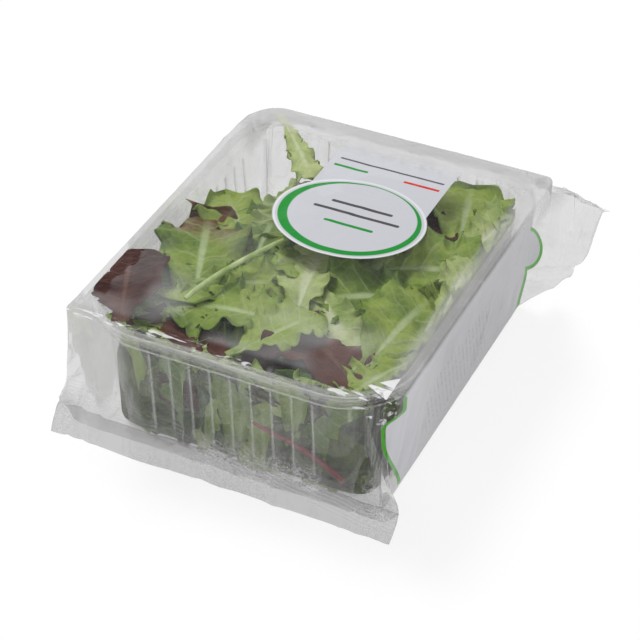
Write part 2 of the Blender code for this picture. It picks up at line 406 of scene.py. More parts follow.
def bladeProfile(kind, p):
    # half the width along the leaf, 1 at its widest; p is the share of the way up the blade
    rise, fall = kind["rise"], kind["fall"]
    peak = (rise / (rise + 0.5 * fall)) ** (1 / fall)
    top = peak ** rise * (1 - peak ** fall) ** 0.5
    return p ** rise * np.sqrt(np.clip(1 - p ** fall, 0, 1)) / top


def leafBlade(kind, rng, length, width, u, v):
    # a leaf with its base at the origin, its length along +Y and its upper side up
    form = bladeForm
    size = length / form["fullSize"]
    p = np.clip((u - kind["stem"]) / (1 - kind["stem"]), 0, 1)
    body = bladeProfile(kind, p)
    stem = kind["stemWidth"] * (1 - form["stemTaper"] * p) * np.sqrt(np.clip(1 - p, 0, 1))
    lobes = Waves(rng, form["lobeSize"], 4)
    profile = np.maximum(body * (1 + form["lobes"] * lobes.at(u, np.sign(v) * 0.7)), stem)
    edge = np.abs(v)
    sideShift = np.sign(v) * 1.7  # the two sides differ
    drift = form["drift"] * lobes.at(u * 0.8, sideShift * 0.5)
    saw = 0.5 + 0.5 * np.sin(2 * math.pi * (u * kind["jags"] + 0.35 * lobes.at(u * 1.7, sideShift)))
    out = 1 - 2 * kind["jag"] * mm / width * saw * smoothStep(0.5, 1.0, edge) * smoothStep(0, 0.2, p)
    phase = rng.uniform(0, 6.28, 4)
    side = np.where(v > 0, phase[0], phase[1])
    grow = edge ** 1.7 * smoothStep(0.02, 0.40, p)
    frill = edge ** 3.2 * smoothStep(0.05, 0.4, p)
    ruffle = kind["ruffle"] * mm * size
    wave = 2 * math.pi * kind["waves"] * u + side + drift
    finer = 2 * math.pi * kind["waves"] * form["finerWaves"] * u + side * 1.7 + 2 * drift
    sway = np.sign(v) * form["outward"] * ruffle * grow * np.cos(wave * 1.1 + 0.8)
    x = v * width / 2 * profile * out + sway
    y = u * length + form["endward"] * ruffle * frill * np.cos(finer)
    z = ruffle * (grow * np.sin(wave) + form["finerHigh"] * frill * np.sin(finer))
    blister = Waves(rng, form["blisterSize"], 6)
    z += kind["blister"] * mm * blister.at(x, y) * smoothStep(0.08, 0.3, edge) * (1 - 0.4 * edge)
    # the midrib is a groove above, and the blade is cupped or domed
    z -= form["grooveDeep"] * np.exp(-(edge * profile / form["grooveHalf"]) ** 2) * smoothStep(1.0, 0.2, u)
    z += rng.uniform(*form["dome"]) * (x ** 2) * 0.5
    return np.stack([x, y, z], axis=1)


def bendLength(points, curve):
    # rolls the blade along its length; curve is the turn in radians per metre
    if abs(curve) < 1e-3:
        return points
    radius = 1 / curve
    turn = points[:, 1] * curve
    y = (radius - points[:, 2]) * np.sin(turn)
    z = radius - (radius - points[:, 2]) * np.cos(turn)
    return np.stack([points[:, 0], y, z], axis=1)


def turned(points, *degrees):
    # heading about Z after pitch about X after roll about Y
    heading, pitch, roll = (math.radians(angle) for angle in degrees)
    spin = Matrix.Rotation(heading, 3, "Z") @ Matrix.Rotation(pitch, 3, "X") @ Matrix.Rotation(roll, 3, "Y")
    return points @ np.array(spin).T


def placeLeaf(kindKey, spec, rng, template, holder):
    # spec: x and y of the blade's middle from the tray's centre, height, heading, pitch, roll, size and so on
    kind = leafKinds[kindKey]
    flat = readPoints(template.data)
    length = spec.get("long", rng.uniform(*kind["length"]) * spec.get("size", 1.0)) * mm
    width = spec.get("wide", rng.uniform(*kind["width"]) * spec.get("size", 1.0)) * mm
    blade = leafBlade(kind, rng, length, width, (flat[:, 1] + 1) / 2, flat[:, 0])
    blade[:, 1] -= length * 0.5
    blade = turned(bendLength(blade, spec["bend"]), spec["heading"], spec["pitch"], spec["roll"])
    blade += np.array([spec["x"] * mm, spec["y"] * mm + trayY, spec["z"] * mm])
    blade = confine(blade, spec["drop"] * mm, spec.get("wallDrop", 0) * mm, "deep" in spec)
    mesh = template.data.copy()
    writePoints(mesh, blade)
    tint = mesh.attributes.new("leafTint", "FLOAT_COLOR", "POINT")
    shade = spec.get("shade", rng.uniform(0, 1))
    values = np.tile([shade, spec.get("red", 0.0), rng.uniform(0, 1), 1.0], len(mesh.vertices))
    tint.data.foreach_set("color", values)
    obj = bpy.data.objects.new(kind["name"], mesh)
    bpy.context.scene.collection.objects.link(obj)
    holder.setdefault(kindKey, []).append(obj)


# where the leaves that show best lie: kind, x, y, z, heading, pitch, roll, length, width, drop under the
# film, lightness, bend and share of red at the tip, in mm, degrees and radians per metre
leafOrder = ("x", "y", "z", "heading", "pitch", "roll", "long", "wide", "drop", "shade", "bend", "red")
shownLeaves = [
    ("red", -62, -65, 71, 24, 0, 0, 52, 36, 0.0, 0.45, 0, 0),
    ("lettuce", -46, -27, 62, 21, 3, 4, 82, 46, 0.5, 0.60, -6, 1.0),
    ("lettuce", -47, 10, 59, 40, 0, 10, 52, 38, 1.3, 1.00, -8, 0),
    ("pale", -44, 65, 69, -139, 0, 4, 66, 14, 0.0, 0.95, 0, 0),
    ("pale", -31, 33, 57, -165, 0, -8, 52, 32, 2.6, 0.50, -8, 0),
    ("lettuce", -30, 0, 58, 12, 0, 6, 60, 32, 2.6, 0.20, -8, 0),
    ("dark", -36, -22, 55, 55, 0, 0, 60, 32, 4.0, 0.50, -8, 0),
    ("lettuce", -25, -34, 61, -62, 0, 14, 50, 30, 1.2, 0.90, -8, 0),
    ("pale", 3, -20, 63, 12, 0, -8, 58, 36, 0.3, 0.70, -8, 0),
    ("lettuce", -11, -52, 62, 98, 0, 5, 66, 44, 0.9, 0.60, -6, 0),
    ("lettuce", 8, -63, 65, -32, 2, -8, 46, 36, 0.0, 1.20, -6, 0),
    ("red", 37, -65, 62, 56, 0, 8, 66, 42, 0.8, 1.00, -5, 0),
    ("red", -26, -76, 60, 78, 0, 6, 60, 32, 0.7, 0.60, -6, 0),
    ("lettuce", 54, -38, 64, -6, 0, 14, 64, 42, 0.2, 0.75, -6, 0),
    ("lettuce", 60, -66, 63, 158, 0, 10, 42, 32, 0.5, 0.95, -5, 0),
    ("lettuce", 33, -17, 61, 118, 0, -8, 66, 44, 1.1, 0.45, -8, 0),
    ("lettuce", 44, 9, 62, -70, 0, 6, 64, 44, 0.7, 0.60, -7, 0),
    ("pale", 22, -37, 61, -138, 0, 12, 56, 30, 1.0, 0.60, -8, 0),
    ("pale", 64, -2, 63, 6, 0, 20, 60, 20, 0.5, 0.60, -3, 0),
    ("red", 39, 29, 60, 60, 0, 0, 50, 38, 1.6, 0.50, -6, 0),
    ("lettuce", 46, 56, 60, 15, 0, 4, 56, 42, 1.0, 1.00, -7, 0),
    ("pale", 60, 42, 61, -12, 0, 10, 62, 30, 0.8, 0.45, -5, 0),
    ("dark", 62, 22, 57, 0, 0, 0, 60, 28, 3.0, 0.50, -5, 0),
    ("lettuce", 56, -75, 60, 100, 0, 10, 46, 32, 1.0, 0.40, -8, 0),
    ("lettuce", -56, -82, 62, 96, 0, 25, 46, 24, 0.4, 0.90, -4, 0),
    ("pale", -14, -85, 60, 88, 0, 25, 66, 20, 1.2, 0.70, -3, 0),
    ("pale", 50, -83, 62, 84, 0, 25, 44, 20, 0.4, 0.30, -4, 0),
    ("pale", -40, -54, 59, -52, 0, 0, 54, 28, 2.2, 0.30, -8, 0),
    ("lettuce", -38, -70, 58, 30, 0, 0, 50, 34, 2.8, 0.30, -8, 0),
    ("red", 8, -45, 56, 20, 0, 0, 56, 34, 4.2, 0.40, -8, 0),
    ("dark", 20, -30, 55, -30, 0, 0, 60, 34, 4.0, 0.40, -8, 0),
    ("dark", 32, -48, 55, -50, 0, 0, 62, 34, 4.2, 0.40, -8, 0),
    ("red", 56, -62, 57, -110, 0, 0, 60, 36, 2.8, 0.30, -8, 0),
    ("lettuce", 6, 4, 57, 60, 0, 0, 70, 44, 2.4, 0.35, -8, 0),
    ("lettuce", -60, -8, 55, 75, 0, 0, 50, 34, 3.0, 0.30, -8, 0),
    ("pale", 14, 30, 56, -60, 0, 0, 70, 34, 3.0, 0.50, -8, 0),
    ("lettuce", 18, 58, 54, 130, 0, 0, 64, 40, 4.0, 0.50, -8, 0),
    ("lettuce", -14, 40, 52, 130, 0, 0, 60, 40, 5.0, 0.50, -8, 0),
]
# upright leaves along each wall: the side's middle, its direction, the way it faces and how many
wallRows = ((0, -84, 1, 0, 0, 30), (0, 84, 1, 0, 180, 12), (-64, 0, 0, 1, -90, 17), (64, 0, 0, 1, 90, 18))
wallReach = (64, 83)  # half the length of a row across the tray and of one along it
looseLeaves = 70
deepKinds = ("lettuce", "pale", "red", "dark", "lettuce")


def restOfLeaves(rng):
    specs = []
    # the body of the heap: it is highest in the front half and falls off towards the back left corner
    for number in range(looseLeaves):
        x, y = rng.uniform(-60, 60), rng.uniform(-82, 78)
        high = float(heapHeight(x * mm, y * mm)) / mm
        specs.append((deepKinds[rng.integers(5)], {
            "x": x, "y": y, "z": rng.uniform(high - 18, high - 5), "heading": rng.uniform(0, 360),
            "pitch": rng.uniform(-22, 22), "roll": rng.uniform(-30, 30), "size": rng.uniform(0.65, 0.9),
            "bend": rng.uniform(-11, 6), "drop": rng.uniform(4, 8), "wallDrop": rng.uniform(0, 3),
            "deep": True}))
    for cx, cy, dx, dy, face, count in wallRows:
        reach = wallReach[0] if dx else wallReach[1]
        for number in range(count):
            along = -reach + 2 * reach * (number + rng.uniform(0.1, 0.9)) / count
            x, y = cx + dx * along, cy + dy * along
            high = float(heapHeight(x * mm, y * mm)) / mm
            specs.append((deepKinds[rng.integers(5)], {
                "x": x, "y": y, "z": rng.uniform(7, max(14, high - 20)),
                "heading": face + rng.uniform(-12, 12), "pitch": 90 + rng.uniform(-12, 12),
                "roll": rng.uniform(-80, 80), "size": rng.uniform(0.6, 0.85) * (0.55 + 0.45 * high / 62),
                "bend": rng.uniform(-3, 5), "wallDrop": rng.uniform(0, 5), "drop": rng.uniform(3, 8),
                "deep": True}))
    return specs


leafLook = {
    "cloudScale": 60, "fineScale": 420, "cellScale": 210, "redTip": (0.13, 0.03, 0.02), "edgeShare": 0.6,
    "ribShare": 0.9, "baseShare": 0.75, "veinShare": 0.28, "freckle": 0.18, "relief": 0.8 * mm,
    "through": 0.16,
}


def leafMaterial(kind):
    look = leafLook
    made, shade = newMaterial(kind["name"])
    across, along, _ = shade.split(shade.node("ShaderNodeUVMap"))
    v = (across * 2 - 1).abs()
    tint = shade.node("ShaderNodeAttribute", {"attribute_name": "leafTint"}, out="Color")
    shadeOf, redOf, _ = shade.split(tint)
    where = shade.objectPlace()
    cloud = shade.noise(where, look["cloudScale"], 3, 0.55)
    fine = shade.noise(where, look["fineScale"], 2, 0.6)
    low, high = kind["blade"]
    blade = shade.mixColour(shade.ease(cloud + (shadeOf - 0.5) * 0.5, 0.3, 0.75), low, high)
    blade = shade.mixColour(shade.ease(v + cloud * 0.5, 0.95, 1.45) * look["edgeShare"], blade, kind["edge"])
    redMask = shade.ease(along + cloud * 0.5, 0.85, 1.15) * redOf
    blade = shade.mixColour(redMask, blade, look["redTip"])
    # the midrib narrows towards the tip, and side veins leave it at a slant
    rib = shade.band(v, kind["ribWidth"] * 0.5, kind["ribWidth"] * 2.2) * shade.ease(along, 0.98, 0.55)
    baseGlow = shade.ease(along + v * 0.25, 0.42, 0.08)
    veinWave = ((along - v * 0.16 + (cloud - 0.5) * 0.05) * kind["veins"]).fract() - 0.5
    veins = shade.band(veinWave, 0.02, 0.10) * shade.ease(v, 0.95, 0.5)
    pale = (rib * look["ribShare"]).max(baseGlow * look["baseShare"], veins * look["veinShare"])
    colour = shade.mixColour(pale.min(1.0), blade, kind["rib"])
    colour = shade.mixColour(shade.ease(fine, 0.35, 0.75) * look["freckle"], colour, low)
    cells = shade.node("ShaderNodeTexVoronoi", {"feature": "DISTANCE_TO_EDGE"}, {
        "Vector": where, "Scale": look["cellScale"], "Randomness": 0.9}, out="Distance")
    net = 1 - shade.ease(cells, 0.015, 0.11)
    colour = shade.mixColour(net * kind["net"], colour, kind["rib"])
    puff = shade.ease(cells, 0.0, 0.4)
    height = fine * 0.25 + rib * 0.6 + veins * 0.5 + cloud * 0.5 + puff * 0.55
    normal = shade.bump(height, 0.5, look["relief"])
    surface = shade.node("ShaderNodeBsdfPrincipled", {}, {
        "Base Color": colour, "Roughness": kind["rough"], "Specular IOR Level": kind["sheen"],
        "Normal": normal})
    through = shade.node("ShaderNodeBsdfTranslucent", {}, {"Color": (*kind["glow"], 1), "Normal": normal})
    shade.surface(shade.mixShader(look["through"], surface, through))
    return made


def makeLeaves():
    rng = np.random.default_rng(41)
    holder = {}
    shown = [(row[0], dict(zip(leafOrder, row[1:]))) for row in shownLeaves]
    for layer, specs in (("shown", shown), ("deep", restOfLeaves(np.random.default_rng(7)))):
        template = gridPiece("leafTemplate", *leafGrid[layer])
        for kindKey, spec in specs:
            placeLeaf(kindKey, spec, rng, template, holder)
        bpy.data.objects.remove(template, do_unlink=True)
    pieces = []
    for kindKey, blades in holder.items():
        kind = leafKinds[kindKey]
        deselectAll()
        for obj in blades:
            obj.select_set(True)
        bpy.context.view_layer.objects.active = blades[0]
        bpy.ops.object.join()
        piece = bpy.context.object
        piece.name = kind["name"]
        piece.data.name = kind["name"]
        piece.data.materials.clear()
        piece.data.materials.append(leafMaterial(kind))
        applyModifier(piece, "SOLIDIFY", thickness=leafGrid["thickness"], offset=0, use_even_offset=False)
        piece.data.shade_smooth()
        pieces.append(piece)
        print(kind["name"], len(blades), "leaves", len(piece.data.polygons), "faces")
    return pieces


# stalks

stalks = {
    # the points along each, in mm from the tray's centre, the half width at each, and two colours
    "longStem": {
        "path": ((-36, -60, 66), (-33, -50, 68), (-26, -30, 69), (-14, -6, 70), (-8, 6, 69)),
        "radii": (1.1, 1.3, 1.2, 1.0, 0.6), "colours": ((0.26, 0.38, 0.10), (0.55, 0.64, 0.32))},
    "redStem": {
        "path": ((-4, -84.2, 37), (8, -84.6, 31.5), (19, -84.4, 28.5), (30, -84.6, 26.5), (42, -84, 19.5),
                 (50, -82.5, 13)),
        "radii": (0.7, 1.2, 1.0, 1.4, 1.4, 1.7), "colours": ((0.20, 0.018, 0.03), (0.34, 0.06, 0.085))},
}


def makeStalk(name, path, radii, colours):
    curve = bpy.data.curves.new(name, "CURVE")
    curve.dimensions = "3D"
    curve.bevel_depth = mm
    curve.bevel_resolution = 3
    curve.use_fill_caps = True
    spline = curve.splines.new("NURBS")
    spline.points.add(len(path) - 1)
    for point, (x, y, z), radius in zip(spline.points, path, radii):
        point.co = (x * mm, y * mm + trayY, z * mm, 1)
        point.radius = radius
    spline.use_endpoint_u = True
    spline.order_u = 4
    spline.resolution_u = 8
    obj = bpy.data.objects.new(name, curve)
    bpy.context.scene.collection.objects.link(obj)
    activate(obj)
    bpy.ops.object.convert(target="MESH")
    piece = bpy.context.object
    made, shade = newMaterial(name)
    streak = shade.streaks(shade.objectPlace(), (300, 60, 300), detail=3)
    mixed = shade.mixColour(shade.ease(streak, 0.3, 0.7), *colours)
    normal = shade.bump(streak, 0.4, 0.4 * mm)
    shade.surface(shade.node("ShaderNodeBsdfPrincipled", {}, {
        "Base Color": mixed, "Roughness": 0.35, "Normal": normal}))
    piece.data.materials.append(made)
    piece.data.shade_smooth()
    return piece


# core of the heap

coreShape = {
    # in mm: how far in from the rim low down, and how much less at the top; how far below the heap its top is
    "inset": 11.8, "taper": 0.4, "below": 12, "least": 8, "floor": 3, "lowest": 3.6, "lump": 3,
    "lumpSize": 26, "squareness": 0.6, "relief": 4 * mm,
    "dark": (0.020, 0.028, 0.010), "light": (0.085, 0.120, 0.034),
}


def makeCore():
    shape = coreShape
    deselectAll()
    bpy.ops.mesh.primitive_cube_add(size=2, location=(0, 0, 0))
    core = bpy.context.object
    core.name = "saladCore"
    applyModifier(core, "SUBSURF", levels=2, render_levels=2, subdivision_type="SIMPLE")
    applyModifier(core, "SUBSURF", levels=3, render_levels=3)
    points = readPoints(core.data)
    points = np.sign(points) * np.abs(points) ** shape["squareness"]
    up = points[:, 2] * 0.5 + 0.5
    lumps = Waves(np.random.default_rng(5), shape["lumpSize"] * mm, 7)
    inset = (shape["inset"] - shape["taper"] * up) * mm
    x, y = points[:, 0] * (halfX - inset), points[:, 1] * (halfY - inset)
    floor = shape["floor"] * mm
    top = np.maximum(heapHeight(x, y) - shape["below"] * mm, shape["least"] * mm)
    z = floor + up * (top - floor) + shape["lump"] * mm * lumps.at(x, y) * (points[:, 2] > 0)
    writePoints(core.data, np.stack([x, y + trayY, np.maximum(z, shape["lowest"] * mm)], axis=1))
    made, shade = newMaterial("saladDeep")
    cloud = shade.noise(shade.objectPlace(), 70, 4, 0.6, 1.5)
    colour = shade.mixColour(shade.ease(cloud, 0.35, 0.65), shape["dark"], shape["light"])
    normal = shade.bump(cloud, 0.9, shape["relief"])
    shade.surface(shade.node("ShaderNodeBsdfPrincipled", {}, {
        "Base Color": colour, "Roughness": 0.6, "Normal": normal}))
    core.data.materials.append(made)
    core.data.shade_smooth()
    return core


# the clear tray

traySizes = {
    "corner": 32 * mm, "ribPitch": 9.2 * mm, "ribHigh": 0.95 * mm, "wall": 0.45 * mm, "cornerSteps": 18,
    # where the outline has a station across each rib, as shares of its pitch, and the rib's half width
    "stations": (-0.5, -0.17, -0.105, -0.055, 0.0, 0.055, 0.105, 0.17), "ribWidth": 0.075,
    # inset from the rim's edge, height below the rim (or above the base if positive), share of rib
    "profile": [
        (0.3, -6.4, 0), (0.0, -6.0, 0), (0.0, -4.7, 0), (0.55, -4.4, 0), (0.55, -4.0, 0), (0.05, -3.7, 0),
        (0.05, -2.6, 0), (0.5, -2.3, 0), (0.5, -1.9, 0), (0.1, -1.5, 0), (0.25, -0.6, 0), (0.8, -0.12, 0),
        (1.4, 0.0, 0), (3.2, 0.0, 0), (3.9, -0.15, 0), (4.4, -0.7, 0), (4.7, -1.6, 0), (5.0, -3.5, 0),
        (5.2, -6.5, 0), (5.9, -7.2, 0), (6.1, -8.0, 0), (6.2, -9.5, 0.2), (6.35, -11.5, 1), (6.6, -15, 1),
        (7.0, -22, 1), (7.5, -30, 1), (8.0, -38, 1), (8.5, -46, 1), (8.9, -53, 1), (9.2, -58, 0.6),
        (9.6, 6.0, 0.1), (10.2, 4.0, 0), (11.4, 2.4, 0), (13.2, 1.5, 0), (16, 1.35, 0), (18, 1.5, 0),
        (19.5, 2.4, 0), (21, 2.85, 0), (24, 2.9, 0), (30, 2.9, 0), (45, 2.9, 0), (62, 2.9, 0),
        (74.5, 2.9, 0)],
    "deepFrom": 20 * mm, "deepSpan": 54.5 * mm, "slotHalf": 0.4 * mm,
}
ribsAcross = round(2 * (halfX - traySizes["corner"]) / traySizes["ribPitch"])
ribsAlong = round(2 * (halfY - traySizes["corner"]) / traySizes["ribPitch"])
trayLook = {
    "tint": (0.978, 0.980, 0.979), "hazeAndHighlight": (0.86, 0.87, 0.87), "baseHaze": 0.003, "rough": 0.06,
    # painted highlights on the rib crests and beside them: how pale each is
    "crestHighlight": 0.27, "besideHighlight": 0.03, "wallInset": 10.5 * mm,
    # pale lines round the rim: how far each is below its top in mm, and its strength
    "rimLines": ((0.5, 0.38), (2.3, 0.24), (4.1, 0.16), (5.7, 0.40)), "lineInner": 0.08, "lineOuter": 0.30,
    "rimDeep": 6.6, "rimHaze": 0.012, "behind": 0.22, "fresnelShare": 0.16, "edgeShare": 0.34,
    "mostShine": 0.8,
}


def ribHighlights(shade, x, along, z, scuff):
    # painted highlights: the ribs' crests are pale lines, with a softer band beside each, for the light they
    # catch
    look = trayLook
    ribGlints = 0
    sides = ((x, halfX, along, halfY, ribsAcross), (along, halfY, x, halfX, ribsAlong))
    for place, half, across, reach, count in sides:
        straight = half - traySizes["corner"]
        phase = ((place + straight) / (2 * straight / count)).fract() - 0.5
        line = shade.band(phase, 0.025, 0.075) * look["crestHighlight"]
        beside = shade.band(phase - 0.14, 0.02, 0.22) * look["besideHighlight"]
        onWall = (place < straight) * (across > reach - look["wallInset"])
        ribGlints = (line + beside) * onWall + ribGlints
    ribGlints = ribGlints * shade.ease(z, 0.010, 0.016) * shade.ease(z, rimZ - 0.009, rimZ - 0.013)
    return ribGlints * shade.ease(scuff, 0.25, 0.6, 0.45, 1.0)


def rimGlints(shade, along, z):
    # the rim's edges catch the light as thin pale lines
    look = trayLook
    sagHere = shade.ease(along, rimSag["from"], halfY, 0, rimSag["depth"] / mm)
    drop = (z - rimZ) * -1000 - sagHere
    lines = (drop < look["rimDeep"]) * look["rimHaze"]
    for height, strength in look["rimLines"]:
        lines = shade.band(drop - height, look["lineInner"], look["lineOuter"]) * strength + lines
    return lines * shade.ease(along, -0.045, -0.078, look["behind"], 1.0)


def trayMaterial():
    look = trayLook
    made, shade = newMaterial("clearTray")
    where = shade.objectPlace()
    x, y, z = shade.split(where)
    along = y - trayY
    scuff = shade.streaks(where, (240, 240, 60), detail=3, roughness=0.6)
    normal = shade.bump(scuff, 0.12, 0.5 * mm)
    # painted highlights on the rib crests and along the rim's edges, mixed in as pale haze
    pale = ribHighlights(shade, x.abs(), along.abs(), z, scuff) + rimGlints(shade, along, z)
    hazeAndHighlight = shade.matt(look["hazeAndHighlight"], normal)
    bare = shade.mixShader(pale + look["baseHaze"], shade.clear(look["tint"]), hazeAndHighlight)
    facing = shade.node("ShaderNodeLayerWeight", {}, {"Blend": 0.5}, out="Facing")
    edge = facing * facing * facing * facing
    shine = shade.fresnel(1.55, normal) * look["fresnelShare"] + edge * look["edgeShare"]
    glossy = shade.gloss(look["rough"], normal)
    shade.surface(shade.letLampsThrough(shade.mixShader(shine.min(look["mostShine"]), bare, glossy)))
    return made


def trayOutline():
    # stations round the tray, anticlockwise: a place on the rim, the way out there and the share of a rib
    r = traySizes["corner"]
    sides = (((1, 0), halfX, halfY, ribsAlong), ((0, 1), halfY, halfX, ribsAcross),
             ((-1, 0), halfX, halfY, ribsAlong), ((0, -1), halfY, halfX, ribsAcross))
    found = []
    for (ox, oy), outReach, alongReach, ribs in sides:
        out, way = np.array((ox, oy), float), np.array((-oy, ox), float)
        straight = 2 * (alongReach - r)
        for rib in range(ribs):
            for offset in traySizes["stations"]:
                place = -straight / 2 + straight * (rib + 0.5 + offset) / ribs
                high = math.exp(-(offset / traySizes["ribWidth"]) ** 2)
                found.append((out * outReach + way * place, out, high))
        found.append((out * outReach + way * straight / 2, out, 0.0))
        centre = out * (outReach - r) + way * straight / 2
        for step in range(1, traySizes["cornerSteps"]):
            turn = 0.5 * math.pi * step / traySizes["cornerSteps"]
            n = out * math.cos(turn) + way * math.sin(turn)
            found.append((centre + n * r, n, 0.0))
    return found


def fillBaseSlot(piece):
    # the profile ends in a narrow slot at the middle of the base: its edges are selected and filled
    activate(piece)
    bpy.ops.object.mode_set(mode="EDIT")
    bpy.ops.mesh.select_mode(type="EDGE")
    bpy.ops.mesh.select_non_manifold(extend=False, use_wire=False, use_multi_face=False,
                                     use_non_contiguous=False, use_verts=False)
    bpy.ops.object.mode_set(mode="OBJECT")
    for edge in piece.data.edges:
        highest = max(piece.data.vertices[i].co.z for i in edge.vertices)
        edge.select = edge.select and highest < 10 * mm
    for part in [*piece.data.vertices, *piece.data.polygons]:
        part.select = False
    bpy.ops.object.mode_set(mode="EDIT")
    bpy.ops.mesh.select_mode(type="EDGE")
    bpy.ops.mesh.edge_face_add()
    bpy.ops.object.mode_set(mode="OBJECT")


def makeTray():
    outline = trayOutline()
    rows = np.array(traySizes["profile"])
    piece, column, row = wrappedGrid("ribbedTray", len(outline), len(rows) - 1)
    place, out, rib = (np.array([station[k] for station in outline])[column] for k in range(3))
    inset, height, share = rows[row, 0] * mm, rows[row, 1] * mm, rows[row, 2]
    z = np.where(height <= 0, rimZ + height, trayLow[2] + height)
    # deep in, the outline shrinks towards the middle line so that its corners stay round
    moved = place - out * (inset - traySizes["ribHigh"] * rib * share)[:, None]
    deep = np.clip((inset - traySizes["deepFrom"]) / traySizes["deepSpan"], 0, 1)
    limit = np.stack([halfX - inset, halfY - inset], axis=1)
    shrunk = place / np.array([halfX, halfY]) * limit
    beyond = (inset > traySizes["deepFrom"] - 1 * mm)[:, None]
    moved = np.where(beyond, shrunk + (moved - shrunk) * (1 - deep)[:, None], moved)
    most = np.maximum(limit, traySizes["slotHalf"]) + 1 * mm
    moved = np.clip(moved, -most, most)
    z = z - backSag(moved[:, 1]) * z / rimZ
    writePoints(piece.data, np.stack([moved[:, 0], moved[:, 1] + trayY, z], axis=1))
    mergeDoubles(piece)
    fillBaseSlot(piece)
    faceOutwards(piece)
    applyModifier(piece, "SOLIDIFY", thickness=traySizes["wall"], offset=0, use_even_offset=False)
    piece.data.shade_smooth()
    print("tray", len(piece.data.polygons), "faces")
    return piece


# the print on the film: plain fields of colour and bars, in mm from the tray's centre

filmPrint = {
    "ovalX": 6.0, "ovalY": 16.5, "ovalA": 35.5, "ovalB": 29.5, "ringRight": 0.022, "ringBack": 0.045,
    "tabLeft": -21.5, "tabRight": 37, "tabFrom": 20, "tabTo": 78, "tabFade": 16, "topFrom": 62,
    "barY": 53, "barHalf": 0.8, "greenBar": (-18.5, -1.5), "redBar": (16.5, 34),
    # middle x and y, half length and half height
    "darkBars": ((8, 59, 26, 0.6), (8, 26, 15, 0.9), (8, 19.5, 21, 0.9)), "lowBar": (8, 11, 12, 0.9),
    "label": (0.47, 0.475, 0.51), "border": (0.60, 0.61, 0.63), "panel": (0.43, 0.43, 0.45),
    "panelFrontLit": (0.52, 0.52, 0.55), "green": (0.001, 0.21, 0.022), "line": (0.05, 0.30, 0.012),
    "red": (0.50, 0.02, 0.02), "grey": (0.055, 0.050, 0.055), "cover": 0.95,
}
sidePanel = {
    # the panel is laid out on the plane seen from the front right: across runs to the right and rise runs up
    "acrossX": 0.9026, "acrossY": 0.4306, "riseX": 0.2646, "riseY": 0.5546, "riseZ": 0.789,
    # how far across each line is: it changes while rise goes from the first number to the second
    "frontLine": (-30, -52, 25.2, 33.5), "frontStep": (-25, -17, 0, 9), "backLine": (24, 42, 93.5, 96.2),
    "swellAcross": 95.5, "swellRise": 52, "swellWide": 8.2, "swellHigh": 8.6, "swellSize": 8.4,
    "frontHalf": (0.7, 1.0), "backHalf": (0.65, 0.95),
    "rowSlant": 0.22, "rowsPerMm": 0.46, "rowShare": 0.30, "blockSlope": 1.29, "rowStrength": 0.32,
}


def roundedBar(shade, x, y, middleX, middleY, halfLong, halfHigh):
    offX = ((x - middleX).abs() - (halfLong - halfHigh)).max(0.0)
    offY = y - middleY
    return 1 - shade.ease((offX * offX + offY * offY).sqrt(), halfHigh - 0.15, halfHigh + 0.15)


def labelMasks(shade, x, y, z):
    # a pale oval with a green ring on the film's top, a pale tab that runs back from it, and plain bars
    p = filmPrint
    onTop = z > p["topFrom"]
    ox, oy = (x - p["ovalX"]) / p["ovalA"], (y - p["ovalY"]) / p["ovalB"]
    oval = (ox * ox + oy * oy).sqrt()
    inOval = 1 - shade.ease(oval, 0.99, 1.01)
    # the ring is thick at the left and the lower right, and thin at the top
    innerX, innerY = ox - p["ringRight"], oy - p["ringBack"]
    inner = (innerX * innerX / 0.70 + innerY * innerY / 0.75).sqrt()
    ring = (1 - shade.ease(oval, 0.925, 0.94)) * shade.ease(inner, 0.99, 1.01)
    inTab = x.between(p["tabLeft"], p["tabRight"]) * (y > p["tabFrom"])
    inTab = inTab * shade.ease(y, p["tabTo"], p["tabTo"] - p["tabFade"])
    bars = (y - p["barY"]).abs() < p["barHalf"]
    greenBar = bars * x.between(*p["greenBar"])
    redBar = bars * x.between(*p["redBar"]) * onTop
    darkBars = [roundedBar(shade, x, y, *bar) for bar in p["darkBars"]]
    dark = darkBars[0].max(*darkBars[1:]) * onTop
    green = ring.max(greenBar, roundedBar(shade, x, y, *p["lowBar"])) * onTop
    border = shade.ease(oval, 0.955, 0.975) * inOval * onTop
    return inOval.max(inTab) * onTop, border, green, redBar, dark


def panelMasks(shade, where, x, y, z):
    # a pale panel down the right side between two green lines, with faint rows of small marks
    p = sidePanel
    across = x * p["acrossX"] + y * p["acrossY"]
    rise = z * p["riseZ"] + y * p["riseY"] - x * p["riseX"]
    onSide = (x > 60) * shade.ease(z, 69.5, 64.5) * (z > 1.2)
    fromFront = across - (shade.ease(rise, *p["frontLine"]) + shade.ease(rise, *p["frontStep"]))
    backLine = shade.ease(rise, *p["backLine"])
    # the back line swells into a half round
    outX, outY = (across - p["swellAcross"]) / p["swellWide"], (rise - p["swellRise"]) / p["swellHigh"]
    swell = (outX * outX + outY * outY).sqrt()
    inPanel = (fromFront > 0) * (across < backLine).max(swell < 1) * onSide
    nearFront = shade.band(fromFront, *p["frontHalf"]) * (y < -60) * (z > 3) * (rise < -12)
    nearBack = shade.band(across - backLine, *p["backHalf"]) * (rise < 43.6) * (y > 40)
    nearRound = shade.band((swell - 1) * p["swellSize"], *p["backHalf"]) * (across > 95.2) * (y > 40)
    line = nearFront.max(nearBack, nearRound) * onSide
    block = (rise - (across - 60) * p["blockSlope"]).between(-12, 9) * across.between(45, 75)
    rows = (((across + rise * p["rowSlant"]) * p["rowsPerMm"]).fract() < p["rowShare"]) * block
    marks = shade.ease(shade.streaks(where, (40, 120, 900), detail=1), 0.46, 0.56)
    return inPanel, line, rows * marks * onSide * p["rowStrength"], across


